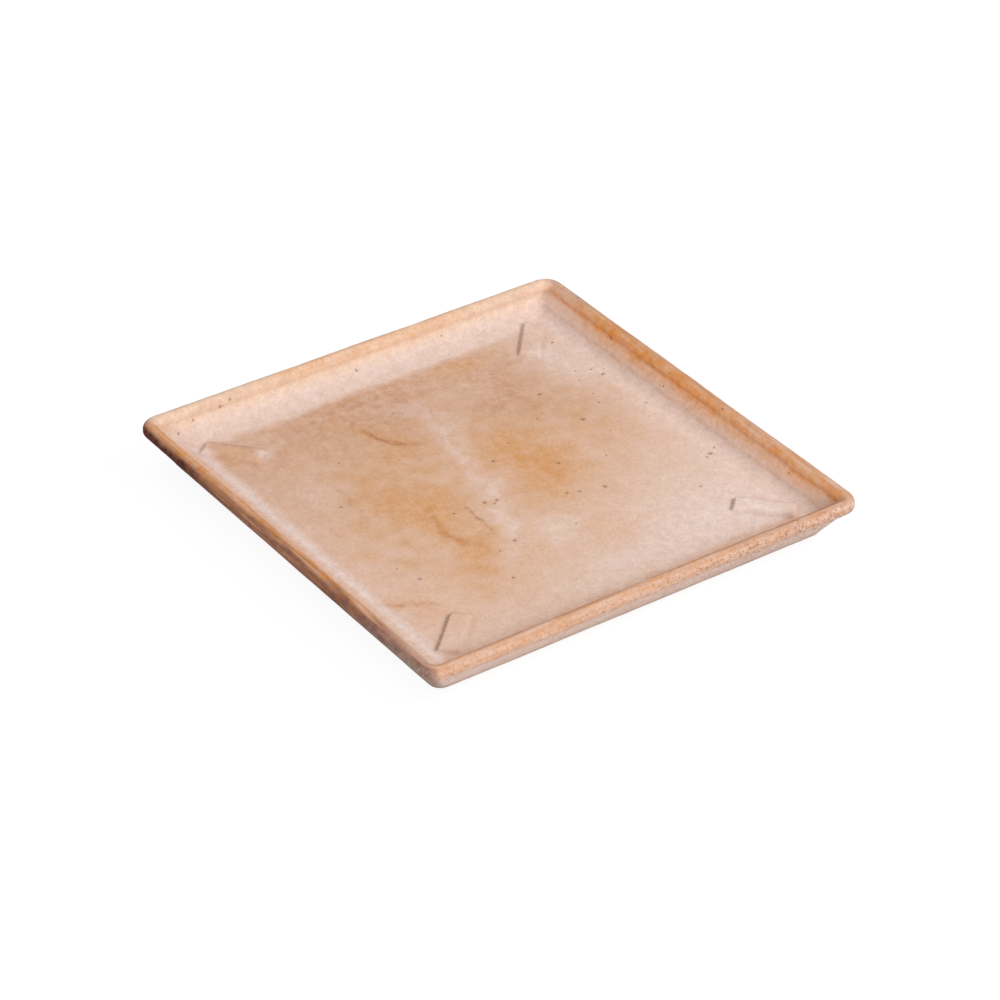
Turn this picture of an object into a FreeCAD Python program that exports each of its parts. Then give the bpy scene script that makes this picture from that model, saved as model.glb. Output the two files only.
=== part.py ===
"""Square terracotta saucer for a plant pot: splayed sides, a rolled lip and a short rib in each corner."""
import FreeCAD
import Part
import os

# Overall sizes, in millimetres
RIM_SIDE = 300.0
HEIGHT = 28.0
FLOOR_THICKNESS = 12.0

# Rolled lip, a round bead that stands a little proud of the wall on both faces
BEAD_RADIUS = 4.5
LIP_OUTSIDE = 1.2
LIP_INSIDE = 0.6
NECK_RADIUS = 2.5
RIM_CORNER_RADIUS = 14.0

# Outer wall, leaning in to a smaller base with a soft lower edge
BASE_INSET = 16.3
OUTER_CORNER_RADIUS = 15.5
BASE_EDGE_RADIUS = 8.0

# Inner wall, leaning in to the floor with a broad cove at its foot
FLOOR_INSET = 16.0
COVE_RADIUS = 12.0
INNER_CORNER_RADIUS = 5.0

# Ribs on the diagonals, which keep the pot clear of standing water
RIB_LENGTH = 36.0
RIB_WIDTH = 13.0
RIB_HEIGHT = 2.5
RIB_CORNER_RADIUS = 2.0
RIB_EDGE_RADIUS = 1.0
RIB_BEDDING = 2.0
RIB_DISTANCE = 154.0
RIB_COUNT = 4

BEAD_LEVEL = HEIGHT - BEAD_RADIUS
BEAD_WIDTH = 2.0 * BEAD_RADIUS
UP = FreeCAD.Vector(0, 0, 1)
ALONG = FreeCAD.Vector(1, 0, 0)
CENTRE = FreeCAD.Vector(0, 0, 0)


def edges_within(shape, low, high):
    """Edges that lie wholly between two levels."""
    slack = 1e-4
    return [
        edge
        for edge in shape.Edges
        if edge.BoundBox.ZMin > low - slack and edge.BoundBox.ZMax < high + slack
    ]


def rising_edges(shape):
    """Edges that are not level."""
    return [edge for edge in shape.Edges if edge.BoundBox.ZLength > 0.5]


def tapered_block(low_side, low_level, high_side, high_level):
    """Square block that widens upwards."""
    low = low_side / 2.0
    high = high_side / 2.0
    block = Part.makeWedge(-low, low_level, -low, -high, -high, low, high_level, low, high, high)
    block.rotate(CENTRE, ALONG, 90)
    return block


def make_outer_body():
    """Tray block, from the base up to the middle of the lip, with its lower edge rounded."""
    base_side = RIM_SIDE - 2.0 * BASE_INSET
    top_side = RIM_SIDE - 2.0 * LIP_OUTSIDE
    block = tapered_block(base_side, 0.0, top_side, BEAD_LEVEL)
    rounded = block.makeFillet(OUTER_CORNER_RADIUS, rising_edges(block))
    return rounded.makeFillet(BASE_EDGE_RADIUS, edges_within(rounded, 0.0, 0.0))


def make_well():
    """Hollow of the saucer: its wall meets the floor in a broad cove, which is mitred at tight corners."""
    wall_inset = BEAD_WIDTH - LIP_INSIDE
    lean = (FLOOR_INSET - wall_inset) / (BEAD_LEVEL - FLOOR_THICKNESS)
    mouth_inset = wall_inset - lean * (HEIGHT - BEAD_LEVEL)
    floor_side = RIM_SIDE - 2.0 * FLOOR_INSET
    mouth_side = RIM_SIDE - 2.0 * mouth_inset
    block = tapered_block(floor_side, FLOOR_THICKNESS, mouth_side, HEIGHT)
    coved = block.makeFillet(COVE_RADIUS, edges_within(block, FLOOR_THICKNESS, FLOOR_THICKNESS))
    return coved.makeFillet(INNER_CORNER_RADIUS, rising_edges(coved))


def rim_path():
    """Square path with rounded corners, along the middle of the lip."""
    half = RIM_SIDE / 2.0 - RIM_CORNER_RADIUS
    turns = ((-half, -half), (half, -half), (half, half), (-half, half), (-half, -half))
    square = Part.makePolygon([FreeCAD.Vector(x, y, BEAD_LEVEL) for x, y in turns])
    return square.makeOffset2D(RIM_CORNER_RADIUS - BEAD_RADIUS)


def make_bead():
    """Rolled lip: a round section swept along the rim."""
    path = rim_path()
    first = path.OrderedEdges[0]
    start = first.valueAt(first.FirstParameter)
    section = Part.Wire([Part.makeCircle(BEAD_RADIUS, start, first.tangentAt(first.FirstParameter))])
    return path.makePipeShell([section], True, False)


def make_rib():
    """One low flat rib with rounded corners and a soft top edge, lying along X and bedded in the floor."""
    top_level = FLOOR_THICKNESS + RIB_HEIGHT
    corner = FreeCAD.Vector(-RIB_LENGTH / 2.0, -RIB_WIDTH / 2.0, FLOOR_THICKNESS - RIB_BEDDING)
    bar = Part.makeBox(RIB_LENGTH, RIB_WIDTH, RIB_BEDDING + RIB_HEIGHT, corner)
    rounded = bar.makeFillet(RIB_CORNER_RADIUS, rising_edges(bar))
    return rounded.makeFillet(RIB_EDGE_RADIUS, edges_within(rounded, top_level, top_level))


def make_ribs():
    """One rib on each diagonal, pointing at its corner."""
    ribs = []
    for index in range(RIB_COUNT):
        rib = make_rib()
        rib.translate(ALONG * RIB_DISTANCE)
        rib.rotate(CENTRE, UP, 45.0 + index * 360.0 / RIB_COUNT)
        ribs.append(rib)
    return ribs


def make_saucer():
    """Hollow tray with a lip on its wall, soft necks under the lip, and ribs on its floor."""
    tray = make_outer_body().cut(make_well())
    lipped = tray.fuse(make_bead()).removeSplitter()
    necked = lipped.makeFillet(NECK_RADIUS, edges_within(lipped, BEAD_LEVEL - BEAD_RADIUS, BEAD_LEVEL))
    saucer = necked.fuse(make_ribs()).removeSplitter()
    return saucer.Solids[0]


os.makedirs("parts", exist_ok=True)
make_saucer().exportStep("parts/saucer.step")
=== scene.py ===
"""Square terracotta plant pot saucer: hand-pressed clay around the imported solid, on white."""
import math

import bmesh
import bpy
import numpy as np
from mathutils import Matrix, Vector, noise


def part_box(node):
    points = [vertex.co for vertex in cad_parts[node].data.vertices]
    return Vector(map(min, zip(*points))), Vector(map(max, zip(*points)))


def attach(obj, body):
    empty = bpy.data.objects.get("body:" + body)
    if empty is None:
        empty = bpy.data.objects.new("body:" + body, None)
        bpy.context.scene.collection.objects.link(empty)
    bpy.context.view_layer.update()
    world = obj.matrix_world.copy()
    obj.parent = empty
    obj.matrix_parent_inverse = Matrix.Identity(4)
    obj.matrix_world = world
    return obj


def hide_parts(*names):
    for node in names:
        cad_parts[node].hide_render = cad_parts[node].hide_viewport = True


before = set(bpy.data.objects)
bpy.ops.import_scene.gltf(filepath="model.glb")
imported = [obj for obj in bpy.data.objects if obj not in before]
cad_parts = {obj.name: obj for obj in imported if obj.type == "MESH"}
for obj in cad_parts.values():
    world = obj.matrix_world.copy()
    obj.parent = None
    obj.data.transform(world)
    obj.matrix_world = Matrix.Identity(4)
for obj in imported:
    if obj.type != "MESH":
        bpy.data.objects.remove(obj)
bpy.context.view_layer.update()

bl_info = {
    "name": "Terracotta Saucer",
    "version": (1, 0, 0),
    "blender": (4, 5, 0),
    "location": "View3D > Sidebar > Saucer",
    "description": "Builds a square saucer of pressed terracotta and a studio stage",
    "category": "Object",
}

LOW_CORNER, HIGH_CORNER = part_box("saucer")
MM = 0.001
# Mesh: steps along a side, gap between the rings of the wall, cuts across a face in fine relief
SIDE_STEPS = 150
RING_GAP = 1.15 * MM
FINE_CUTS = 3
# What asks for fine relief: dirt and painted shadow beside a rib, strength of a rust line, room
# around a pit
FINE_CREASE = 0.04
FINE_LINE = 0.12
FINE_MARGIN = 0.8 * MM
# How far off the floor's level a point may lie and still count as floor
FLOOR_BAND = 1 * MM

# Wall section: points on the floor's margin and on an arc, ends of the lip's arc in degrees, drop
# of the neck below the lip, and the gap and passes in which the creases are worked soft
MARGIN_POINTS = 40
ARC_POINTS = 60
LIP_ARC = (-32.0, 222.0)
NECK_DROP = 0.9 * MM
SOFT_GAP = 0.15 * MM
SOFT_PASSES = 60
# Steps along the section at which marks and pits are placed, in mm
RUN_STEP = 0.4
PIT_STEP = 0.1
# Shift of the noise for each seed
SEED_STEPS = (17.3, 5.1, 9.7)

# Unevenness of hand-pressed clay, each with the size over which it is alike: broad swells, small
# lumps, dents along the lip, and the rim's waves up and sideways. It fades towards the flat base
SWELL, SWELL_SIZE = 0.22 * MM, 38 * MM
LUMP, LUMP_SIZE = 0.1 * MM, 9 * MM
LIP_DENT, LIP_DENT_SIZE = 0.1 * MM, 4 * MM
RIM_WAVE, RIM_WAVE_SIZE = 0.45 * MM, 90 * MM
RIM_SWAY, RIM_SWAY_SIZE = 0.4 * MM, 80 * MM
BASE_FADE = 3 * MM

# Pits and chips: spread of the bowl past the pit's radius, steepness of its side, depth as a share
# of the radius, and raggedness of its edge
BOWL_SPREAD = 1.25
BOWL_POWER = 1.5
FLOOR_PIT_DEPTH = 0.45
WALL_PIT_DEPTH = 0.35
RAGGED_EDGE, RAGGED_SIZE = 0.35, 1.4 * MM
# Small chips scattered along the lip: how many on each side, how far from its middle, and the
# ranges of their run from the crest and of their radius, in mm
CHIP_SEED = 20
LIP_CHIPS = (("south", 14), ("east", 7), ("north", 7), ("west", 6))
CHIP_REACH = 135.0
CHIP_RUNS = (-2.0, 9.0)
CHIP_RADII = (0.5, 1.0)

# Ribs: unevenness of their outline, width of a sharp and of a soft side, the share of that width
# that lies outside the rib's size, dirt along a soft side, how far out and how wide the dark line
# at the foot lies, and how strongly it colours the crease
RIB_WOBBLE, RIB_WOBBLE_SIZE = 0.7 * MM, 9 * MM
SHARP_SLOPE = 2.0 * MM
SOFT_SLOPE = 3.2 * MM
SLOPE_SHARE = 0.4
SOFT_DIRT = 0.3
DIRT_OFFSET = 0.9 * MM
DIRT_WIDTH = 1.4 * MM
CREASE_DIRT_AND_SHADOW = 0.5

# How each rib lies off its place, counter-clockwise from +X +Y: turn in degrees, shift out and
# across in mm, the one side that the mould left sharp, and how dark the line along that side is:
# painted cast shadow with dirt
RIB_SHIFTS = (
    (4.0, 2.0, 2.5, "left", 0.7),
    (-4.0, 0.0, 1.0, "right", 0.7),
    (-2.0, -3.0, 3.0, "right", 1.0),
    (0.0, 2.0, 3.0, "inner", 0.85),
)

# Soft marks on the floor, in mm from its middle: place, half-widths along X and Y, strength
OCHRE_PATCHES = (
    (10, 15, 100, 100, 0.7),
    (-62, -72, 46, 42, 0.4),
    (-72, 62, 55, 50, 0.35),
    (-95, -20, 30, 40, 0.3),
    (90, 40, 30, 40, 0.25),
)
TAN_PATCHES = (
    (-62, 102, 66, 34, 0.57),
    (20, 114, 72, 20, 0.56),
    (56, 66, 34, 28, 0.75),
    (-16, 76, 26, 36, 0.4),
    (-108, 58, 20, 55, 0.3),
    (82, 94, 22, 18, 0.3),
    (88, 38, 26, 30, 0.25),
    (-72, 34, 34, 40, 0.2),
)
IRON_PATCHES = (
    (34, 4, 27, 32, 0.6),
    (36, -8, 13, 16, 0.35),
    (22, 28, 17, 16, 0.42),
    (20, -30, 12, 14, 0.3),
    (-58, 18, 20, 26, 0.48),
    (-52, -14, 12, 20, 0.48),
    (-37, 2, 12, 16, 0.42),
    (-38, -21, 11, 14, 0.35),
    (-27, 57, 15, 14, 0.4),
    (-56, -58, 18, 22, 0.45),
    (-40, -44, 14, 9, 0.3),
    (-70, 4, 14, 20, 0.2),
    (58, 112, 20, 9, 0.45),
    (90, 4, 16, 14, 0.2),
    (28, -78, 18, 16, 0.25),
    (-104, -88, 14, 18, 0.3),
    (-112, 108, 10, 12, 0.3),
)
SALT_PATCHES = (
    (2, -58, 12, 16, 0.5),
    (90, -94, 52, 40, 0.55),
    (22, -108, 60, 16, 0.35),
    (122, -10, 12, 80, 0.25),
    (112, 80, 16, 30, 0.45),
    (-93, 46, 14, 16, 0.3),
    (10, 64, 9, 9, 0.35),
    (0, 2, 11, 9, 0.4),
    (110, -112, 12, 12, 0.4),
    (103, 97, 7, 6, 0.5),
    (-97, 96, 5, 5, 0.65),
)
# Lines on the floor: half-width, then place and strength along the line
SALT_STREAKS = (
    (
        8.0,
        (
            (-8, 104, 0.15),
            (6, 86, 0.25),
            (10, 68, 0.4),
            (5, 50, 0.5),
            (0, 34, 0.4),
            (-4, 18, 0.45),
            (-4, 2, 0.55),
            (-12, -12, 0.45),
            (-17, -28, 0.45),
            (-20, -44, 0.45),
            (-29, -60, 0.3),
            (-40, -72, 0.1),
        ),
    ),
    (14.0, ((8, 60, 0.1), (2, 30, 0.15), (-4, 0, 0.15), (-14, -30, 0.12), (-24, -56, 0.05))),
)
IRON_STREAKS = (
    (
        6.0,
        (
            (-44, 14, 0.3),
            (-50, -8, 0.6),
            (-53, -26, 0.75),
            (-51, -42, 0.7),
            (-43, -51, 0.55),
            (-33, -46, 0.35),
        ),
    ),
    (5.0, ((-42, 100, 0.2), (-31, 76, 0.4), (-22, 64, 0.4), (-10, 55, 0.15))),
    (5.0, ((-122, -64, 0.3), (-108, -73, 0.4), (-94, -82, 0.2))),
)
RUST_LINES = (
    (1.6, ((-40, 121, 0.15), (-35, 95, 0.3), (-31, 74, 0.7), (-25, 65, 0.7), (-14, 56, 0.35))),
    (3.0, ((-46, 2, 0.1), (-50, -12, 0.3), (-53, -26, 0.4), (-51, -40, 0.3), (-44, -49, 0.15))),
    (1.3, ((-28, -9, 0.35), (-29, -20, 0.65), (-30, -30, 0.5), (-33, -40, 0.2))),
    (1.8, ((-122, -64, 0.25), (-110, -71, 0.4), (-97, -80, 0.25))),
    (1.4, ((-84, 62, 0.12), (-81, 40, 0.2), (-80, 10, 0.15))),
    (1.2, ((15, 84, 0.2), (9, 74, 0.2), (0, 48, 0.15))),
    (2.4, ((-122, 128, 0.55), (-112, 121, 0.45), (-102, 112, 0.2))),
)
# Pits left by burnt-out grit in the floor: place and radius
FLOOR_PITS = (
    (82, 25, 1.6),
    (12, 18, 1.3),
    (42, -5, 1.3),
    (50, -39, 1.6),
    (35, -35, 1.1),
    (28, -32, 1.2),
    (-17, -14, 1.4),
    (-10, -16, 1.4),
    (-13, -18, 0.9),
    (-38, -13, 1.0),
    (-25, -54, 1.4),
    (-38, -58, 0.9),
    (-47, -83, 1.2),
    (-91, -55, 1.3),
    (122, -46, 1.7),
    (127, -43, 1.0),
    (118, -48, 0.9),
    (-88, 28, 1.2),
    (77, 61, 1.3),
    (122, 58, 1.4),
    (119, 66, 0.9),
    (126, 62, 0.8),
    (124, 18, 0.9),
    (118, 104, 1.1),
    (-8, 92, 0.9),
    (60, 40, 0.9),
    (14, -60, 0.8),
    (70, -14, 0.8),
    (101, 34, 0.9),
    (-64, 66, 0.8),
    (96, -70, 0.9),
    (30, 28, 0.8),
    (66, 95, 0.8),
    (104, 44, 0.8),
    (110, 70, 0.9),
    (106, 60, 0.8),
    (88, 6, 0.7),
    (-96, -40, 0.7),
)
# Pits in the walls: side, place along it, run down its section from the lip's crest, radius
WALL_PITS = (
    ("north", -97, -8.0, 1.2),
    ("north", -90, -5.5, 1.1),
    ("north", -116, -10.5, 0.9),
    ("north", -3, -15.5, 1.2),
    ("north", -128, -15.0, 0.9),
    ("north", 60, -13.0, 0.8),
    ("east", 76, -9.5, 1.2),
    ("east", 20, -14.0, 0.9),
    ("east", -30, -3.0, 0.9),
    ("east", -96, -12.0, 0.8),
)
# Strength of each mark down the wall section of each side: run in mm from the lip's crest, which
# is below zero inside
WALL_MARKS = {
    # Behind the -Y lip the tan is painted shadow of the lip, with some dirt in it
    "tan_skin": {
        "south": ((-34, 0.3), (-31, 0.45), (-27, 0.55), (-20, 0.5), (-12, 0.2), (-8, 0.0)),
    },
    "cream_skin": {
        "north": ((-18, 0.0), (-13, 0.4), (-9, 0.6), (-1, 0.55), (2, 0.35), (6, 0.15), (12, 0.0)),
    },
    "bare_clay": {
        "north": (
            (-15, 0.0), (-9, 0.12), (-6, 0.28), (-3, 0.34), (0, 0.28), (8, 0.35), (14, 0.15),
            (30, 0.05),
        ),
        "east": (
            (-26, 0.05),
            (-20, 0.2),
            (-17, 0.3),
            (-14.5, 0.45),
            (-11.5, 0.65),
            (-8.5, 0.92),
            (-5, 1.0),
            (-1.5, 0.82),
            (1, 0.6),
            (4, 0.42),
            (10, 0.35),
            (16, 0.15),
            (30, 0.05),
        ),
        "south": (
            (-20, 0.0), (-12, 0.2), (-6, 0.5), (-1, 0.55), (1, 0.45), (5, 0.44), (8, 0.34),
            (14, 0.12), (30, 0.05),
        ),
        "west": (
            (-29, 0.0), (-27, 0.15), (-24, 0.3), (-10, 0.4), (-3, 0.7), (2, 0.9), (10, 0.9),
            (20, 0.5), (30, 0.2),
        ),
    },
    # On the -X outer face, turned away from the lights, and just inside the -Y lip's crest this
    # dark brown is painted shade as well as kiln scorch
    "kiln_scorch": {
        "north": ((-1, 0.0), (1, 0.06), (4, 0.16), (12, 0.1), (20, 0.0)),
        "east": ((-4, 0.0), (-2, 0.2), (0, 0.32), (3, 0.35), (10, 0.2), (20, 0.0)),
        "south": (
            (-8, 0.0), (-3.5, 0.45), (-1.5, 0.38), (0.3, 0.22), (4, 0.18), (6, 0.22), (9, 0.1),
            (12, 0.0),
        ),
        "west": (
            (-6, 0.0), (-2, 0.25), (0.4, 0.4), (1.9, 0.6), (3.1, 0.8), (4.3, 0.92), (6, 0.97),
            (22, 0.9), (32, 0.7),
        ),
    },
    # Nearly black on the -X outer face and round its +Y corner: kiln scorch, and painted shade of
    # that face, which is turned away from the lights
    "soot": {
        "west": ((2.2, 0.0), (3.6, 0.5), (4.6, 0.95), (5.6, 1.0), (30, 1.0)),
        "north": ((2.0, 0.0), (5.0, 0.6), (12, 0.5), (24, 0.2), (30, 0.0)),
    },
    # On the walls the pale bloom is partly painted light: it lightens the shaded neck under the +Y
    # lip, the shaded foot of the +X wall and the downward-facing outer wall of the -Y side
    "salt_bloom": {
        "north": (
            (-34, 0.0), (-28, 0.3), (-20, 0.45), (-14, 0.5), (-8, 0.75), (-5, 0.7), (-2, 0.35),
            (1, 0.0),
        ),
        "east": ((-32, 0.3), (-26, 0.5), (-20, 0.8), (-16, 0.7), (-12, 0.35), (-9, 0.0)),
        "south": (
            (-34, 0.0), (-24, 0.1), (-10, 0.0), (8, 0.0), (12, 0.35), (20, 0.7), (26, 0.7),
            (30, 0.2),
        ),
        "west": (
            (-35, 0.4), (-33, 0.8), (-30, 1.0), (-27.5, 0.9), (-25, 0.35), (-12, 0.2), (-8, 0.0),
        ),
    },
    # Greyer towards the base on the outside
    "lime_film": {
        "north": ((20, 0.0), (26, 0.2), (31, 0.6), (40, 0.8)),
        "east": ((20, 0.0), (26, 0.2), (31, 0.6), (40, 0.8)),
        "south": ((20, 0.0), (26, 0.15), (31, 0.6), (40, 0.8)),
        "west": ((2, 0.0), (5, 0.4), (12, 0.5), (40, 0.7)),
    },
    # On the walls these dark lines are painted shade: in the groove under the +X lip, at that
    # wall's foot and along the inner side of the -Y lip's crest, where some dirt lies too
    "rust_line": {
        "east": ((-19, 0.0), (-17.5, 0.3), (-16, 0.0), (-10, 0.0), (-7.8, 0.4), (-5.5, 0.0)),
        "south": ((-7, 0.0), (-4, 0.4), (-2, 0.15), (-1, 0.0)),
    },
    "speckle": {
        "north": ((0, 0.0), (6, 0.15), (12, 0.3), (24, 0.3), (30, 0.1)),
        "east": ((0, 0.0), (6, 0.15), (12, 0.3), (24, 0.3), (30, 0.1)),
        "south": ((-1, 0.05), (1.5, 0.25), (4, 0.7), (7, 1.0), (12, 0.9), (22, 0.6), (28, 0.3)),
        "west": ((0, 0.0), (8, 0.15), (24, 0.2), (30, 0.1)),
    },
}
# Share of a mark along a side, in mm from the side's middle
WALL_SPREADS = {
    ("bare_clay", "north"): (
        (-150, 0.55), (-75, 0.6), (-55, 1.3), (60, 1.35), (85, 0.7), (150, 0.55),
    ),
    ("bare_clay", "east"): (
        (-150, 0.8), (-55, 0.8), (-20, 1.0), (85, 1.05), (105, 0.7), (122, 0.45), (150, 0.35),
    ),
    ("bare_clay", "west"): ((-150, 0.3), (-110, 0.4), (-75, 0.9), (-60, 1.0)),
    ("kiln_scorch", "south"): ((-150, 0.9), (20, 0.95), (70, 1.2), (150, 1.3)),
    ("soot", "west"): (
        (-150, 0.65), (-110, 0.7), (-80, 0.5), (-45, 0.3), (40, 0.12), (75, 0.45), (100, 1.0),
        (125, 1.3),
    ),
    ("soot", "north"): ((-150, 1.0), (-135, 0.6), (-115, 0.1), (-90, 0.0)),
    ("lime_film", "west"): ((-150, 1.4), (-115, 1.0), (-80, 0.4), (-55, 0.1)),
    ("speckle", "south"): (
        (-150, 0.9), (-125, 0.4), (-45, 0.5), (30, 0.75), (70, 1.15), (150, 1.35),
    ),
    ("speckle", "west"): ((-150, 4.0), (-115, 2.0), (-85, 1.0)),
}
# How far the scorch and painted shade reach over the lip along the -X side, in mm of run
SCORCH_AND_SHADE_REACH = (
    (-150, 1.2), (-110, 2.0), (-70, 2.0), (-30, 1.5), (20, 0.2), (70, -0.6), (95, -1.8),
    (150, -2.6),
)
# A mark without a spread is even along its side
EVEN_SPREAD = ((0, 1.0),)
# Length over which the marks of two sides blend at a corner
CORNER_BLEND = 10 * MM
# Where the level floor begins: inset from the rim and fade in mm, and its uneven edge. A point
# deeper than the last number below the floor's level belongs to the underside
LEVEL_START, LEVEL_FADE = 24, 8
LEVEL_RAGGED, LEVEL_RAGGED_SIZE = 1.6, 12 * MM
LEVEL_DEPTH = 3 * MM
# How the edges of marks wander, in mm on the floor and down the walls: reach, size and seed
FLOOR_WANDERS = ((4, 26 * MM, 11), (1.2, 6 * MM, 13))
WALL_WANDERS = ((0.8, 14 * MM, 17), (0.4, 5 * MM, 18))
# Streaks that the tool drew along the lip: width, how much longer than wide, contrast in each mark
STREAK_WIDTH = 1.5 * MM
STREAK_STRETCH = 16
LENGTHWISE_CONTRAST = {"bare_clay": 0.7, "kiln_scorch": 0.9, "soot": 0.4}
# How the salt vein breaks up into blotches: mean strength, swing, limits and size
VEIN_MEAN, VEIN_SWING = 0.85, 1.1
VEIN_LIMITS = (0.15, 1.25)
VEIN_BLOTCH = 7 * MM

# Soft lights: name, place and side in metres, and the setting that holds the power
SOFTBOXES = (
    ("key_softbox", (1.16, -0.81, 1.27), 0.6, "key_power"),
    ("front_softbox", (-0.93, -1.48, 0.74), 0.8, "front_power"),
    ("top_softbox", (-0.9, 0.75, 1.8), 2.2, "top_power"),
)
# Half the side of the studio floor in metres, and the room's light for the clay and for the eye
STUDIO_HALF = 6.0
ROOM_TO_CLAY, ROOM_TO_EYE = 0.37, 1.0
# Camera: sensor in mm, and the shift that sets the saucer where the photo has it
SENSOR_WIDTH = 36.0
LENS_SHIFT = (0.0059, -0.0012)


def linear(hex_code):
    """Linear RGBA of an sRGB hex colour such as "#D9A273"."""
    channels = [int(hex_code[i : i + 2], 16) / 255.0 for i in (1, 3, 5)]
    light = [c / 12.92 if c <= 0.04045 else ((c + 0.055) / 1.055) ** 2.4 for c in channels]
    return (*light, 1.0)


def length_setting(label, meaning, millimetres):
    """A length property, written here in millimetres."""
    return bpy.props.FloatProperty(
        name=label, description=meaning, default=millimetres * MM, unit="LENGTH", precision=4
    )


def colour_setting(label, meaning, hex_code):
    """A colour property, written here as sRGB hex."""
    shown = {"size": 4, "subtype": "COLOR", "min": 0.0, "max": 1.0}
    return bpy.props.FloatVectorProperty(
        name=label, description=meaning, default=linear(hex_code), **shown
    )


def angle_setting(label, meaning, degrees):
    """An angle property, written here in degrees."""
    return bpy.props.FloatProperty(
        name=label, description=meaning, default=math.radians(degrees), subtype="ANGLE"
    )


def power_setting(label, meaning, watts):
    """A lamp's power, in watts."""
    return bpy.props.FloatProperty(name=label, description=meaning, default=watts, unit="POWER")


class SaucerSizes(bpy.types.PropertyGroup):
    """Sizes of the saucer's section and ribs."""

    rim_side: length_setting(
        "Rim Side", "Side across the rolled lip", (HIGH_CORNER.x - LOW_CORNER.x) / MM
    )
    height: length_setting(
        "Height", "Base to the top of the lip", (HIGH_CORNER.z - LOW_CORNER.z) / MM
    )
    floor: length_setting("Floor", "Thickness of the floor", 12.0)
    margin: length_setting("Floor Margin", "Rim to where the floor starts to rise", 27.0)
    margin_rise: length_setting("Margin Rise", "How far the floor rises to the wall's foot", 2.4)
    bead: length_setting("Lip Radius", "Radius of the rolled lip's section", 4.5)
    lip_outside: length_setting("Lip Outside", "How far the lip stands out from the wall", 0.9)
    lip_inside: length_setting("Lip Inside", "How far the lip stands in from the wall", 0.2)
    floor_inset: length_setting("Floor Inset", "How far the inner wall leans in at the floor", 16.0)
    base_inset: length_setting("Base Inset", "How far the outer wall leans in at the base", 16.3)
    base_edge: length_setting("Base Edge", "Rounding of the lower edge", 8.0)
    rim_corner: length_setting("Rim Corner", "Corner radius outside the lip", 12.0)
    wall_corner: length_setting("Wall Corner", "Corner radius of the outer wall", 9.5)
    base_corner: length_setting("Base Corner", "Corner radius of the flat base", 4.5)
    inner_corner: length_setting("Inner Corner", "Corner radius of the inner wall", 5.0)
    floor_corner: length_setting("Floor Corner", "Corner radius where the floor is level", 3.0)
    rib_length: length_setting("Rib Length", "Length of a corner rib", 36.0)
    rib_width: length_setting("Rib Width", "Width of a corner rib", 13.0)
    rib_height: length_setting("Rib Height", "Height of a corner rib above the floor", 2.3)
    rib_distance: length_setting("Rib Distance", "Middle of the saucer to that of a rib", 154.0)


class SaucerColours(bpy.types.PropertyGroup):
    """Colours of the fired clay and of what lies on it, some also used to paint shade and light."""

    skin: colour_setting("Pale Skin", "Dry pale skin of fine clay on the flat faces", "#DCBFAF")
    ochre: colour_setting("Ochre", "Yellower skin where water stood", "#D0A27C")
    # Tan also paints the shadow behind the -Y lip
    tan: colour_setting("Tan Skin", "Browner skin where the clay dried slowly", "#C79A7C")
    iron: colour_setting("Iron Stain", "Orange iron stain", "#D09762")
    # Salt also lightens shaded parts of the walls as painted light
    salt: colour_setting("Salt Bloom", "Lilac-white salt bloom", "#E4D0C9")
    cream: colour_setting("Cream Skin", "Thin cream slip left on the lip", "#EBD0B4")
    clay: colour_setting("Bare Clay", "Bare fired body where the lip is rubbed", "#E09D61")
    # Grey that the outer walls take on towards the base
    base_grey: colour_setting("Lime", "Grey lime and dust low on the outside", "#B9A497")
    # Scorch also paints shade on the -X outer face and inside the -Y lip's crest
    scorch_and_shade: colour_setting("Scorch", "Dark kiln scorch on the outer faces", "#8A5C4A")
    # Soot also paints the deep shade of the -X outer face
    soot: colour_setting("Soot", "Nearly black scorch at the corner that faced the fire", "#4A160C")
    # Rust also paints the dark crease lines on the walls
    rust_and_shade: colour_setting("Rust", "Brown lines that water left", "#AC6C3E")
    # Grime also paints the cast shadow along the sharp side of each rib
    grime: colour_setting("Grime", "Grey dirt in the creases", "#846759")
    # Colour that grows with each pit's depth, darkest at its bottom; also the colour of the burnt
    # specks
    pit: colour_setting("Pit", "Burnt grit at the bottom of a pit", "#926E5C")


class SaucerStage(bpy.types.PropertyGroup):
    """Camera and light."""

    azimuth: angle_setting("Azimuth", "Camera turn about the vertical", -36.57)
    elevation: angle_setting("Elevation", "Camera height angle", 34.23)
    roll: angle_setting("Roll", "Camera turn about its line of sight", 1.5)
    distance: length_setting("Distance", "Camera to the middle of the base", 2250.0)
    lens: bpy.props.FloatProperty(
        name="Lens", description="Focal length on a 36 mm sensor", default=140.15, unit="CAMERA"
    )
    key_power: power_setting("Key Light", "Power of the light from the right", 18.5)
    front_power: power_setting("Front Light", "Power of the low light beside the camera", 14.6)
    top_power: power_setting("Top Light", "Power of the large light overhead", 13.4)


def wall_leans(sizes):
    """Lean of the inner and of the outer wall, as run per rise."""
    lip_level = sizes.height - sizes.bead
    inner = (sizes.floor_inset - 2 * sizes.bead + sizes.lip_inside) / (lip_level - sizes.floor)
    outer = (sizes.base_inset - sizes.lip_outside) / lip_level
    return inner, outer


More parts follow.
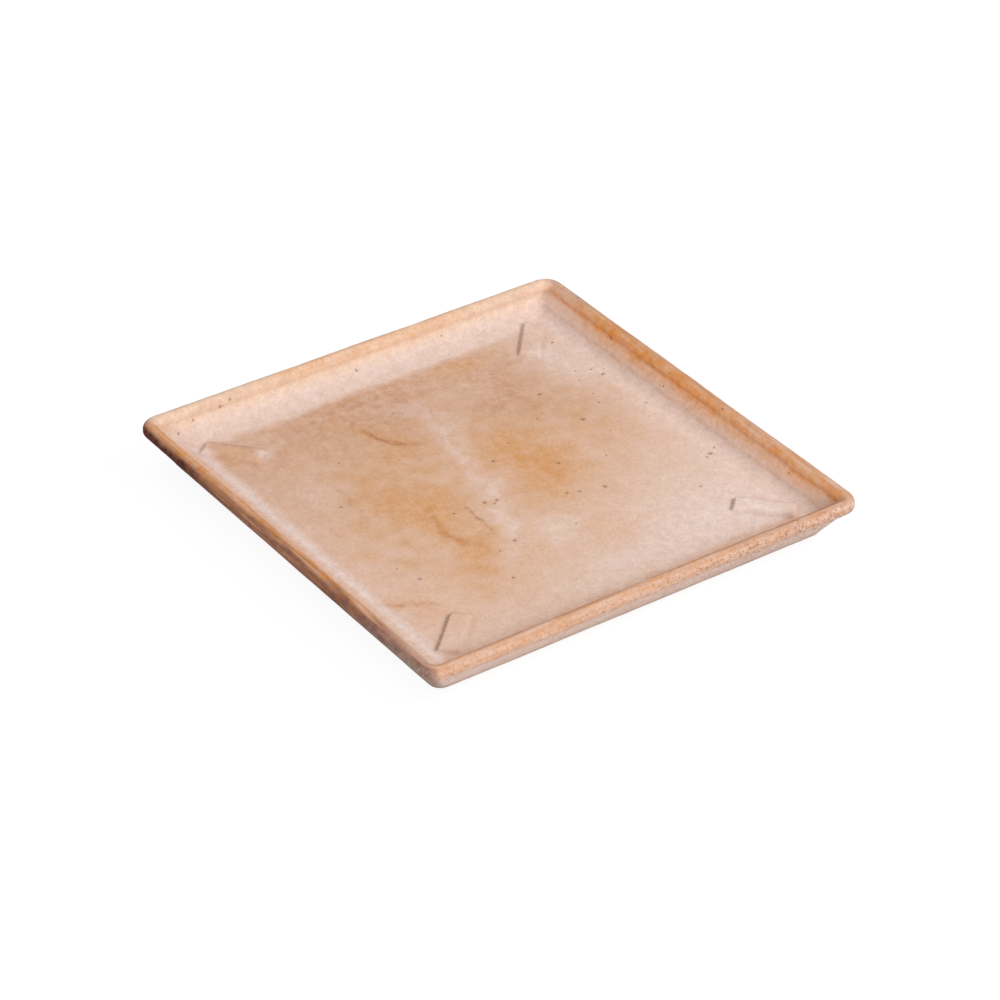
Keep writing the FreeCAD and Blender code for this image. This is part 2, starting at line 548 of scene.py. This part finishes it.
def section_line(sizes):
    """Wall section as (inset from the rim, level), from the floor over the lip to the base."""
    lip_level = sizes.height - sizes.bead
    inner, outer = wall_leans(sizes)
    foot = sizes.floor_inset - inner * sizes.margin_rise
    climb = np.linspace(0.0, 1.0, MARGIN_POINTS)
    rise = sizes.floor + sizes.margin_rise * climb**2
    margin = np.stack([sizes.margin + (foot - sizes.margin) * climb, rise], 1)

    def arc(inset, level, radius, start, end):
        turn = np.radians(np.linspace(start, end, ARC_POINTS))
        return np.stack([inset + radius * np.cos(turn), level + radius * np.sin(turn)], 1)

    lip = arc(sizes.bead, lip_level, sizes.bead, *LIP_ARC)
    neck_inset = sizes.lip_outside + outer * (sizes.bead + NECK_DROP)
    neck = np.array([[neck_inset, lip_level - sizes.bead - NECK_DROP]])
    lean = math.degrees(math.atan(outer))
    edge_run = sizes.base_edge * math.tan(math.radians(90.0 - lean) / 2)
    edge_inset = sizes.base_inset + edge_run
    edge = arc(edge_inset, sizes.base_edge, sizes.base_edge, 180.0 + lean, 270.0)
    return np.concatenate([margin, lip, neck, edge])


def even_points(line, gap):
    """The line again, as points about one gap apart."""
    steps = np.linalg.norm(np.diff(line, axis=0), axis=1)
    runs = np.concatenate([[0.0], np.cumsum(steps)])
    marks = np.linspace(0.0, runs[-1], round(runs[-1] / gap) + 1)
    return np.stack([np.interp(marks, runs, line[:, k]) for k in range(2)], axis=1)


def softened(line, passes):
    """The line with its corners worked soft and its ends kept."""
    line = line.copy()
    for _ in range(passes):
        line[1:-1] = (line[:-2] + 2 * line[1:-1] + line[2:]) / 4
    return line


def soft_section(sizes, gap):
    """Wall section with its creases worked soft, as points about one gap apart."""
    return even_points(softened(even_points(section_line(sizes), SOFT_GAP), SOFT_PASSES), gap)


def corner_radii(section, sizes):
    """Corner radius at each point of the section: tight in the well, round outside."""
    inset, level = section.T
    crest = int(np.argmax(level))
    lip_level = sizes.height - sizes.bead
    inside = np.clip(sizes.rim_corner - inset, sizes.inner_corner, None)
    # The corner opens from the floor's radius to the wall's over the lower half of the wall
    foot = np.clip((level - sizes.floor) / (lip_level - sizes.floor) * 2, 0.0, 1.0)
    inside = sizes.floor_corner + (inside - sizes.floor_corner) * foot
    levels = (0.0, sizes.base_edge / 2, lip_level - sizes.bead, lip_level)
    radii = (sizes.base_corner, sizes.wall_corner, sizes.wall_corner, sizes.rim_corner)
    outside = np.interp(level, levels, radii)
    outside = np.minimum(outside, sizes.rim_corner - inset * (level > lip_level))
    return np.where(np.arange(len(section)) <= crest, inside, outside)


def ring(half, corner, level):
    """Points of a rounded square, counter-clockwise from the middle of the +X side."""
    straight = half - corner
    marks = np.linspace(0.0, straight + corner * math.pi / 4, SIDE_STEPS // 2 + 1)
    turn = np.clip(marks - straight, 0.0, None) / corner
    x = straight + corner * np.cos(turn)
    y = np.where(turn > 0, straight + corner * np.sin(turn), marks)
    first = np.stack([x, y], axis=1)
    quarter = np.concatenate([first, first[-2:0:-1, ::-1]])
    turned = np.stack([-quarter[:, 1], quarter[:, 0]], axis=1)
    flat = np.concatenate([quarter, turned, -quarter, -turned])
    return np.column_stack([flat, np.full(len(flat), level)])


def pressed_blank(sizes):
    """Closed smooth mesh of the saucer without its ribs: wall rings, floor grid and base."""
    section = soft_section(sizes, RING_GAP)
    half = sizes.rim_side / 2
    rows = zip(section, corner_radii(section, sizes))
    points = np.concatenate([ring(half - inset, corner, level) for (inset, level), corner in rows])
    count = 4 * SIDE_STEPS
    here = np.arange(count)
    after = (here + 1) % count
    faces = []
    for row in range(len(section) - 1):
        low, high = row * count, (row + 1) * count
        corners = (low + here, high + here, high + after, low + after)
        faces += np.stack(corners, axis=1).tolist()
    faces.append(((len(section) - 1) * count + here)[::-1].tolist())
    # The floor's grid takes its outer points from the first ring
    lattice = np.full((SIDE_STEPS + 1, SIDE_STEPS + 1), -1)
    steps = np.arange(SIDE_STEPS + 1)
    start = SIDE_STEPS // 2
    lattice[SIDE_STEPS, steps] = (steps - start) % count
    lattice[SIDE_STEPS - steps, SIDE_STEPS] = (steps + start) % count
    lattice[0, SIDE_STEPS - steps] = (steps + start + SIDE_STEPS) % count
    lattice[steps, 0] = (steps + start + 2 * SIDE_STEPS) % count
    inner = SIDE_STEPS - 1
    lattice[1:-1, 1:-1] = len(points) + np.arange(inner * inner).reshape(inner, inner)
    along = np.linspace(-1.0, 1.0, SIDE_STEPS + 1)[1:-1] * (half - section[0, 0])
    grid_x, grid_y = np.meshgrid(along, along, indexing="ij")
    flat = np.column_stack([grid_x.ravel(), grid_y.ravel(), np.full(inner * inner, sizes.floor)])
    corners = (lattice[:-1, :-1], lattice[1:, :-1], lattice[1:, 1:], lattice[:-1, 1:])
    faces += np.stack(corners, axis=-1).reshape(-1, 4).tolist()
    return np.concatenate([points, flat]), faces


def drift(points, size, seed):
    """Smooth random numbers between about -1 and 1, alike over about the given size."""
    shift = Vector([seed * step for step in SEED_STEPS])
    return np.array([noise.noise(Vector(point) / size + shift) for point in points])


def smooth_step(share):
    """The share from 0 to 1, easing in and out."""
    return share * share * (3 - 2 * share)


def rib_forms(points, sizes):
    """How far up a rib each point stands, from 0 to 1, and the dark line at the rib's foot: dirt,
    and painted shadow along its sharp side.
    """
    top = sizes.floor + sizes.margin_rise
    on_floor = (points[:, 2] > sizes.floor - FLOOR_BAND) & (points[:, 2] < top)
    wobble = RIB_WOBBLE * drift(points, RIB_WOBBLE_SIZE, 7)
    points = points + wobble[:, None] * (1, 1, 0)
    climb = np.zeros(len(points))
    crease = np.zeros(len(points))
    for quarter, (turn, outward, sideways, sharp_side, sharp_dirt_and_shadow) in enumerate(RIB_SHIFTS):
        bearing = math.radians(45 + 90 * quarter)
        diagonal = np.array((math.cos(bearing), math.sin(bearing)))
        aside = np.array((-diagonal[1], diagonal[0]))
        middle = diagonal * (sizes.rib_distance + outward * MM) + aside * sideways * MM
        out = np.array(Matrix.Rotation(math.radians(turn), 2) @ Vector(diagonal))
        across = np.array((-out[1], out[0]))
        rises, feet = [], []
        for side, way, reach in (
            ("outer", out, sizes.rib_length / 2),
            ("inner", -out, sizes.rib_length / 2),
            ("left", across, sizes.rib_width / 2),
            ("right", -across, sizes.rib_width / 2),
        ):
            past = (points[:, :2] - middle) @ way - reach
            sharp = side == sharp_side
            slope, dirt_and_shadow = (SHARP_SLOPE, sharp_dirt_and_shadow) if sharp else (SOFT_SLOPE, SOFT_DIRT)
            rises.append(smooth_step(np.clip(SLOPE_SHARE - past / slope, 0.0, 1.0)))
            feet.append(dirt_and_shadow * np.exp(-(((past - DIRT_OFFSET) / DIRT_WIDTH) ** 2)))
        climb = np.maximum(climb, np.prod(rises, axis=0))
        for end in range(4):
            flanks = [rises[k] for k in range(4) if k // 2 != end // 2]
            crease = np.maximum(crease, feet[end] * np.prod(flanks, axis=0))
    return climb * on_floor, crease * on_floor


def hollows(sizes):
    """Pits in the floor and walls and chips in the lip, as rows of place, radius and depth."""
    random = np.random.default_rng(CHIP_SEED)
    rows = []
    for x, y, radius in FLOOR_PITS:
        bowl = (BOWL_SPREAD * radius * MM, FLOOR_PIT_DEPTH * radius * MM)
        rows.append((x * MM, y * MM, sizes.floor, *bowl))
    section = soft_section(sizes, PIT_STEP * MM)
    crest = int(np.argmax(section[:, 1]))
    # Each side's quarter turns from the -Y side; a turned side counts its length the other way
    turns = {"south": 0, "east": 1, "north": 2, "west": 3}
    spots = []
    for side, along, run, size in WALL_PITS:
        spots.append((side, along if turns[side] < 2 else -along, run, size))
    for side, number in LIP_CHIPS:
        for _ in range(number):
            if side == "south":  # more chips towards the +X end
                along = random.triangular(-CHIP_REACH, CHIP_REACH, CHIP_REACH + 5.0)
            else:
                along = random.uniform(-CHIP_REACH, CHIP_REACH)
            spots.append((side, along, random.uniform(*CHIP_RUNS), random.uniform(*CHIP_RADII)))
    for side, along, run, size in spots:
        inset, level = section[crest + round(run / PIT_STEP)]
        place = Vector((along * MM, inset - sizes.rim_side / 2, level))
        place.rotate(Matrix.Rotation(turns[side] * math.pi / 2, 3, "Z"))
        rows.append((*place, BOWL_SPREAD * size * MM, WALL_PIT_DEPTH * size * MM))
    return np.array(rows)


def patches(places, marks):
    """Strength of soft oval patches at each place."""
    total = np.zeros(len(places))
    for x, y, wide, deep, strength in marks:
        off_x, off_y = (places[:, 0] - x) / wide, (places[:, 1] - y) / deep
        total += strength * np.exp(-(off_x**2) - off_y**2)
    return np.clip(total, 0.0, 1.0)


def streaks(places, marks):
    """Strength of soft lines at each place."""
    total = np.zeros(len(places))
    for width, path in marks:
        path = np.array(path, float)
        for start, end in zip(path[:-1], path[1:]):
            run = end[:2] - start[:2]
            share = np.clip((places - start[:2]) @ run / (run @ run), 0.0, 1.0)
            gap = np.linalg.norm(places - start[:2] - share[:, None] * run, axis=1)
            strength = start[2] + (end[2] - start[2]) * share
            total = np.maximum(total, strength * np.exp(-((gap / width) ** 2)))
    return total


def wandering(points):
    """Places on the floor in mm, shifted a little to and fro so that marks get uneven edges."""
    places = points[:, :2] / MM
    for reach, size, seed in FLOOR_WANDERS:
        shifts = [drift(points, size, seed), drift(points, size, seed + 1)]
        places = places + np.stack(shifts, axis=1) * reach
    return places


def section_runs(points, sizes):
    """Each point's run along the section from the lip's crest, in mm, and inset from the rim."""
    line = soft_section(sizes, RUN_STEP * MM)
    crest = int(np.argmax(line[:, 1]))
    corner = sizes.rim_corner
    past = np.abs(points[:, :2]) - (sizes.rim_side / 2 - corner)
    inset = corner - np.hypot(*np.clip(past, 0.0, None).T) - np.clip(past.max(axis=1), None, 0.0)
    flat = np.column_stack([inset, points[:, 2]])
    nearest = [np.argmin(((line - spot) ** 2).sum(axis=1)) for spot in flat]
    return (np.array(nearest) - crest) * RUN_STEP, inset


def press_relief(points, normals, sizes):
    """Points moved into ribs, pits, chips and hand-pressed unevenness, and how deep each pit is."""
    lift = np.clip(points[:, 2] / BASE_FADE, 0.0, 1.0)
    rim = np.clip((points[:, 2] - sizes.floor) / (sizes.height - sizes.floor), 0.0, 1.0)
    push = SWELL * drift(points, SWELL_SIZE, 1) + LUMP * drift(points, LUMP_SIZE, 2)
    push += LIP_DENT * rim * drift(points, LIP_DENT_SIZE, 3)
    moved = points + normals * (push * lift)[:, None]
    flat = points * (1, 1, 0)
    moved[:, 2] += RIM_WAVE * rim * drift(flat, RIM_WAVE_SIZE, 4)
    for axis in range(2):
        moved[:, axis] += RIM_SWAY * rim * drift(flat, RIM_SWAY_SIZE, 5 + axis)
    climb, _ = rib_forms(points, sizes)
    moved[:, 2] += sizes.rib_height * climb
    ragged = 1 + RAGGED_EDGE * drift(points, RAGGED_SIZE, 8)
    pit = np.zeros(len(points))
    sink = np.zeros(len(points))
    for x, y, z, radius, depth in hollows(sizes):
        near = np.linalg.norm(points - (x, y, z), axis=1) / radius * ragged
        bowl = np.clip(1 - near * near, 0.0, 1.0) ** BOWL_POWER
        pit = np.maximum(pit, bowl)
        sink = np.maximum(sink, depth * bowl)
    moved -= normals * sink[:, None]
    return moved, pit


def surface_marks(points, sizes):
    """Where the clay is stained, bloomed, rubbed, greyed and scorched, and where shade and light
    are painted on it: a strength at each point.
    """
    runs, inset = section_runs(points, sizes)
    x, y = points[:, 0], points[:, 1]
    x_share = np.clip(0.5 + (np.abs(x) - np.abs(y)) / CORNER_BLEND, 0.0, 1.0)
    sides = {
        "east": x_share * (x > 0),
        "west": x_share * (x < 0),
        "north": (1 - x_share) * (y > 0),
        "south": (1 - x_share) * (y < 0),
    }
    along = np.where(np.abs(x) > np.abs(y), y, x)
    streak_places = np.column_stack([along / STREAK_STRETCH, runs * MM, sides["east"] * MM])
    lengthwise = drift(streak_places, STREAK_WIDTH, 16)
    ragged_inset = inset / MM - LEVEL_START + LEVEL_RAGGED * drift(points, LEVEL_RAGGED_SIZE, 15)
    level = smooth_step(np.clip(ragged_inset / LEVEL_FADE, 0.0, 1.0))
    level = level * (points[:, 2] > sizes.floor - LEVEL_DEPTH)
    uneven = runs
    for reach, size, seed in WALL_WANDERS:
        uneven = uneven + reach * drift(points, size, seed)
    scorch_and_shade_runs = uneven + sides["west"] * np.interp(along / MM, *zip(*SCORCH_AND_SHADE_REACH))
    walls = {}
    for mark, tables in WALL_MARKS.items():
        total = np.zeros(len(points))
        for side, table in tables.items():
            spread = WALL_SPREADS.get((mark, side), EVEN_SPREAD)
            share = sides[side] * np.interp(along / MM, *zip(*spread))
            total += share * np.interp(scorch_and_shade_runs if mark == "kiln_scorch" else uneven, *zip(*table))
        walls[mark] = total * (1 - level)
    for mark, contrast in LENGTHWISE_CONTRAST.items():
        walls[mark] = walls[mark] * (1 + contrast * lengthwise)
    places = wandering(points)
    _, crease = rib_forms(points, sizes)
    broken = np.clip(VEIN_MEAN + VEIN_SWING * drift(points, VEIN_BLOTCH, 19), *VEIN_LIMITS)
    salt = np.maximum(patches(places, SALT_PATCHES), streaks(places, SALT_STREAKS) * broken)
    iron = np.maximum(patches(places, IRON_PATCHES), streaks(places, IRON_STREAKS))
    marks = {
        **walls,
        "ochre_tinge": patches(places, OCHRE_PATCHES) * level,
        # Tan on the floor is a stain; on the -Y wall it is painted shadow
        "tan_skin": patches(places, TAN_PATCHES) * level + walls["tan_skin"],
        "iron_stain": iron * level,
        "salt_bloom": salt * level + walls["salt_bloom"],
        "rust_line": streaks(places, RUST_LINES) * level + walls["rust_line"],
        "grime": CREASE_DIRT_AND_SHADOW * crease,
    }
    return {name: np.clip(strength, 0.0, 1.0) for name, strength in marks.items()}


def node(tree, kind, links=None, **settings):
    """Adds a shader node. Links give each input's source or value; settings are the node's own."""
    item = tree.nodes.new(kind)
    for name, value in settings.items():
        setattr(item, name, value)
    for name, source in (links or {}).items():
        if isinstance(source, bpy.types.NodeSocket):
            tree.links.new(source, item.inputs[name])
        else:
            item.inputs[name].default_value = source
    return item


def pressed_terracotta(colours):
    """Red clay pressed in a mould, fired low and left unglazed."""
    # A dry chalky skin that scatters light evenly, with sandy grain, burnt specks and soft stains,
    # and with shade and light painted into its colour in places
    material = bpy.data.materials.new("pressed_terracotta")
    material.use_nodes = True
    tree = material.node_tree
    tree.nodes.clear()
    place = node(tree, "ShaderNodeTexCoord").outputs["Object"]
    # Each stain, some of them partly painted shade and light: where it lies, its colour, the size
    # of its clouds, the range of the clouds that is used, and how thin and thick the stain is at
    # the ends of that range
    stains = (
        ("ochre_tinge", colours.ochre, 12 * MM, (0.35, 0.65), (0.4, 1.45)),
        ("tan_skin", colours.tan, 8 * MM, (0.35, 0.65), (0.6, 1.25)),
        ("iron_stain", colours.iron, 5 * MM, (0.35, 0.65), (0.7, 1.15)),
        ("salt_bloom", colours.salt, 5 * MM, (0.35, 0.65), (0.55, 1.2)),
        ("cream_skin", colours.cream, 6 * MM, (0.35, 0.65), (0.7, 1.15)),
        ("bare_clay", colours.clay, 5 * MM, (0.35, 0.65), (0.7, 1.15)),
        ("kiln_scorch", colours.scorch_and_shade, 6 * MM, (0.35, 0.65), (0.75, 1.1)),
        ("soot", colours.soot, 6 * MM, (0.35, 0.65), (0.75, 1.2)),
        ("lime_film", colours.base_grey, 5 * MM, (0.35, 0.65), (0.5, 1.2)),
        ("rust_line", colours.rust_and_shade, 4 * MM, (0.38, 0.62), (0.35, 1.2)),
        ("grime", colours.grime, 3 * MM, (0.38, 0.62), (0.4, 1.3)),
        ("speckle", colours.scorch_and_shade, 1.9 * MM, (0.48, 0.38), (0.0, 0.7)),
        ("speckle", colours.salt, 1.7 * MM, (0.53, 0.65), (0.0, 0.6)),
        # Darker towards the bottom of each pit
        ("pit", colours.pit, 1.5 * MM, (0.35, 0.65), (0.6, 1.1)),
    )
    colour = colours.skin
    for name, stain, size, (low, high), (thin, thick) in stains:
        mark = node(tree, "ShaderNodeAttribute", attribute_name=name).outputs["Fac"]
        links = {"Vector": place, "Scale": 1 / size, "Detail": 4.0, "Roughness": 0.6}
        cloud = node(tree, "ShaderNodeTexNoise", links).outputs["Fac"]
        links = {"From Min": low, "From Max": high, "To Min": thin, "To Max": thick}
        breakup = node(tree, "ShaderNodeMapRange", {"Value": cloud, **links}).outputs["Result"]
        links = {0: mark, 1: breakup}
        share = node(tree, "ShaderNodeMath", links, operation="MULTIPLY", use_clamp=True).outputs[0]
        links = {0: share, 6: colour, 7: stain}
        colour = node(tree, "ShaderNodeMix", links, data_type="RGBA").outputs[2]
    # Sand, grit in the pressed skin and cloudy firing, with how dark and light each one goes. Real
    # sand is 0.2 to 0.5 mm; it is drawn at 0.9 mm so that it shows
    middle_range = {"From Min": 0.3, "From Max": 0.7}
    tone = None
    grains = []
    for size, dark, light in (
        (0.9 * MM, 0.92, 1.06),
        (2.2 * MM, 0.93, 1.06),
        (6 * MM, 0.95, 1.05),
    ):
        links = {"Vector": place, "Scale": 1 / size, "Detail": 3.0, "Roughness": 0.65}
        grain = node(tree, "ShaderNodeTexNoise", links).outputs["Fac"]
        links = {"Value": grain, **middle_range, "To Min": dark, "To Max": light}
        swing = node(tree, "ShaderNodeMapRange", links).outputs["Result"]
        if tone is not None:
            links = {0: tone, 1: swing}
            swing = node(tree, "ShaderNodeMath", links, operation="MULTIPLY").outputs[0]
        tone = swing
        grains.append(grain)
    sand, grit, firing = grains
    links = {"Value": firing, **middle_range, "To Min": 1.12, "To Max": 0.9}
    tint = node(tree, "ShaderNodeMapRange", links).outputs["Result"]
    links = {"Color": colour, "Value": tone, "Saturation": tint}
    shade = node(tree, "ShaderNodeHueSaturation", links).outputs["Color"]
    # Burnt specks in nearly half of the cells of 4.5 mm, dark over half a millimetre and faded out
    # at about 1.2 mm
    links = {"Vector": place, "Scale": 1 / (4.5 * MM), "Randomness": 1.0}
    specks = node(tree, "ShaderNodeTexVoronoi", links).outputs
    links = {"From Min": 0.06, "From Max": 0.13, "To Min": 1.0, "To Max": 0.0}
    links["Value"] = specks["Distance"]
    speck = node(tree, "ShaderNodeMapRange", links).outputs["Result"]
    chance = node(tree, "ShaderNodeSeparateColor", {0: specks["Color"]}).outputs[0]
    links = {"Value": chance, "From Min": 0.5, "From Max": 0.6, "To Min": 0.0, "To Max": 0.5}
    pick = node(tree, "ShaderNodeMapRange", links).outputs["Result"]
    links = {0: speck, 1: pick}
    fleck = node(tree, "ShaderNodeMath", links, operation="MULTIPLY", use_clamp=True).outputs[0]
    links = {0: fleck, 6: shade, 7: colours.pit}
    final = node(tree, "ShaderNodeMix", links, data_type="RGBA").outputs[2]
    # Grain that is felt more than seen: the grit counts twice as much as the sand
    links = {0: grit, 1: 2.0, 2: sand}
    height = node(tree, "ShaderNodeMath", links, operation="MULTIPLY_ADD").outputs[0]
    links = {"Height": height, "Strength": 0.5, "Distance": 0.12 * MM}
    bump = node(tree, "ShaderNodeBump", links).outputs["Normal"]
    links = {"Value": firing, **middle_range, "To Min": 0.82, "To Max": 0.96}
    dryness = node(tree, "ShaderNodeMapRange", links).outputs["Result"]
    links = {"Base Color": final, "Roughness": dryness, "Normal": bump}
    links.update({"IOR": 1.5, "Specular IOR Level": 0.1})
    shader = node(tree, "ShaderNodeBsdfPrincipled", links).outputs["BSDF"]
    node(tree, "ShaderNodeOutputMaterial", {"Surface": shader})
    return material


def seen_directly(tree):
    """1 for what is seen, straight or in a reflection, and 0 for light on its way to the clay."""
    path = node(tree, "ShaderNodeLightPath").outputs
    seen = path["Is Camera Ray"]
    for other in ("Is Glossy Ray", "Is Transmission Ray"):
        links = {0: seen, 1: path[other]}
        seen = node(tree, "ShaderNodeMath", links, operation="MAXIMUM").outputs[0]
    return seen


def paper_sweep():
    """Matte white paper: white to the eye with a faint shadow, and a soft glow back to the clay."""
    material = bpy.data.materials.new("matte_paper_sweep")
    material.use_nodes = True
    tree = material.node_tree
    tree.nodes.clear()
    paper = node(tree, "ShaderNodeBsdfDiffuse", {"Color": linear("#E3E3E3")}).outputs[0]
    # To the eye the paper glows by itself, so that its shadow stays faint
    shaded = node(tree, "ShaderNodeBsdfDiffuse", {"Color": linear("#696969")}).outputs[0]
    links = {"Color": linear("#FFFFFF"), "Strength": 0.9}
    white = node(tree, "ShaderNodeEmission", links).outputs[0]
    shown = node(tree, "ShaderNodeAddShader", {0: shaded, 1: white}).outputs[0]
    links = {0: seen_directly(tree), 1: paper, 2: shown}
    mix = node(tree, "ShaderNodeMixShader", links).outputs[0]
    node(tree, "ShaderNodeOutputMaterial", {"Surface": mix})
    return material


class SAUCER_OT_clay(bpy.types.Operator):
    """Build the pressed and fired saucer in place of its plain solid"""

    bl_idname = "saucer.clay"
    bl_label = "Build Clay Saucer"

    def execute(self, context):
        sizes = context.scene.saucer_sizes
        points, faces = pressed_blank(sizes)
        mesh = bpy.data.meshes.new("saucer_clay")
        mesh.from_pydata(points.tolist(), [], faces)
        self.refine(mesh, sizes)
        points = np.array([vertex.co for vertex in mesh.vertices])
        normals = np.array([entry.vector for entry in mesh.vertex_normals])
        moved, pit = press_relief(points, normals, sizes)
        mesh.vertices.foreach_set("co", moved.ravel())
        for name, strength in {**surface_marks(points, sizes), "pit": pit}.items():
            mesh.attributes.new(name, "FLOAT", "POINT").data.foreach_set("value", strength)
        mesh.update()
        mesh.shade_smooth()
        mesh.materials.append(pressed_terracotta(context.scene.saucer_colours))
        piece = bpy.data.objects.new("saucer_clay", mesh)
        context.scene.collection.objects.link(piece)
        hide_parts("saucer")
        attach(piece, "root")
        return {"FINISHED"}

    def refine(self, mesh, sizes):
        """Divides the faces where ribs, lines, pits and chips need a finer mesh."""
        bm = bmesh.new()
        bm.from_mesh(mesh)
        middles = np.array([face.calc_center_median() for face in bm.faces])
        _, crease = rib_forms(middles, sizes)
        on_floor = np.abs(middles[:, 2] - sizes.floor) < FLOOR_BAND
        on_line = streaks(wandering(middles), RUST_LINES) > FINE_LINE
        wanted = (crease > FINE_CREASE) | (on_line & on_floor)
        for x, y, z, radius, _ in hollows(sizes):
            wanted |= np.linalg.norm(middles - (x, y, z), axis=1) < radius + FINE_MARGIN
        chosen = {face for face, fine in zip(bm.faces, wanted) if fine and len(face.verts) == 4}
        edges = [edge for edge in bm.edges if chosen.intersection(edge.link_faces)]
        bmesh.ops.subdivide_edges(bm, edges=edges, cuts=FINE_CUTS, use_grid_fill=True)
        # Faces beside the fine ones have extra points; only the base stays one large face
        crowded = [face for face in bm.faces if 4 < len(face.verts) < 4 * SIDE_STEPS]
        bmesh.ops.triangulate(bm, faces=crowded, ngon_method="BEAUTY")
        bm.to_mesh(mesh)
        bm.free()


class SAUCER_OT_stage(bpy.types.Operator):
    """Set the white floor, the soft lights and the camera"""

    bl_idname = "saucer.stage"
    bl_label = "Set Stage"

    def execute(self, context):
        scene = context.scene
        stage = scene.saucer_stage
        bm = bmesh.new()
        bmesh.ops.create_grid(bm, x_segments=8, y_segments=8, size=STUDIO_HALF)
        mesh = bpy.data.meshes.new("studio_floor")
        bm.to_mesh(mesh)
        bm.free()
        mesh.materials.append(paper_sweep())
        floor = bpy.data.objects.new("studio_floor", mesh)
        scene.collection.objects.link(floor)
        for name, place, side, setting in SOFTBOXES:
            self.add_softbox(scene, name, place, side, getattr(stage, setting))
        self.set_world(scene)
        self.add_camera(scene, stage)
        scene.view_settings.view_transform = "Standard"
        return {"FINISHED"}

    def add_softbox(self, scene, name, place, side, power):
        """Square soft light that faces the saucer."""
        lamp = bpy.data.lights.new(name, "AREA")
        lamp.size = side
        lamp.energy = power
        box = bpy.data.objects.new(name, lamp)
        box.location = place
        box.rotation_euler = Vector(place).to_track_quat("Z", "Y").to_euler()
        box.visible_camera = False
        scene.collection.objects.link(box)

    def set_world(self, scene):
        """A room that is white to the eye and dim to the clay."""
        world = bpy.data.worlds.new("studio_room")
        world.use_nodes = True
        tree = world.node_tree
        tree.nodes.clear()
        white = linear("#FFFFFF")
        links = {0: seen_directly(tree)}
        for number, strength in ((1, ROOM_TO_CLAY), (2, ROOM_TO_EYE)):
            light = node(tree, "ShaderNodeBackground", {"Color": white, "Strength": strength})
            links[number] = light.outputs[0]
        mix = node(tree, "ShaderNodeMixShader", links).outputs[0]
        node(tree, "ShaderNodeOutputWorld", {"Surface": mix})
        scene.world = world

    def add_camera(self, scene, stage):
        """Long lens that looks down over the near corner."""
        turn, rise, roll = stage.azimuth, stage.elevation, stage.roll
        flat = math.cos(rise)
        back = Vector((math.sin(turn) * flat, -math.cos(turn) * flat, math.sin(rise)))
        level = Vector((math.cos(turn), math.sin(turn), 0.0))
        upright = back.cross(level)
        right = level * math.cos(roll) + upright * math.sin(roll)
        up = upright * math.cos(roll) - level * math.sin(roll)
        lens = bpy.data.cameras.new("photo_camera")
        lens.lens = stage.lens
        lens.sensor_width = SENSOR_WIDTH
        lens.shift_x, lens.shift_y = LENS_SHIFT
        camera = bpy.data.objects.new("photo_camera", lens)
        facing = Matrix((right, up, back)).transposed().to_4x4()
        camera.matrix_world = Matrix.Translation(back * stage.distance) @ facing
        scene.collection.objects.link(camera)
        scene.camera = camera


class SAUCER_PT_panel(bpy.types.Panel):
    """Sizes, colours and steps of the saucer"""

    bl_label = "Terracotta Saucer"
    bl_idname = "SAUCER_PT_panel"
    bl_space_type = "VIEW_3D"
    bl_region_type = "UI"
    bl_category = "Saucer"

    def draw(self, context):
        scene = context.scene
        for group in (scene.saucer_sizes, scene.saucer_colours, scene.saucer_stage):
            for name in group.__annotations__:
                self.layout.prop(group, name)
        self.layout.operator("saucer.clay")
        self.layout.operator("saucer.stage")


CLASSES = (
    SaucerSizes,
    SaucerColours,
    SaucerStage,
    SAUCER_OT_clay,
    SAUCER_OT_stage,
    SAUCER_PT_panel,
)


def register():
    for item in CLASSES:
        bpy.utils.register_class(item)
    bpy.types.Scene.saucer_sizes = bpy.props.PointerProperty(type=SaucerSizes)
    bpy.types.Scene.saucer_colours = bpy.props.PointerProperty(type=SaucerColours)
    bpy.types.Scene.saucer_stage = bpy.props.PointerProperty(type=SaucerStage)


def unregister():
    del bpy.types.Scene.saucer_stage
    del bpy.types.Scene.saucer_colours
    del bpy.types.Scene.saucer_sizes
    for item in reversed(CLASSES):
        bpy.utils.unregister_class(item)


def main():
    register()
    bpy.ops.saucer.clay()
    bpy.ops.saucer.stage()


if __name__ == "__main__":
    main()
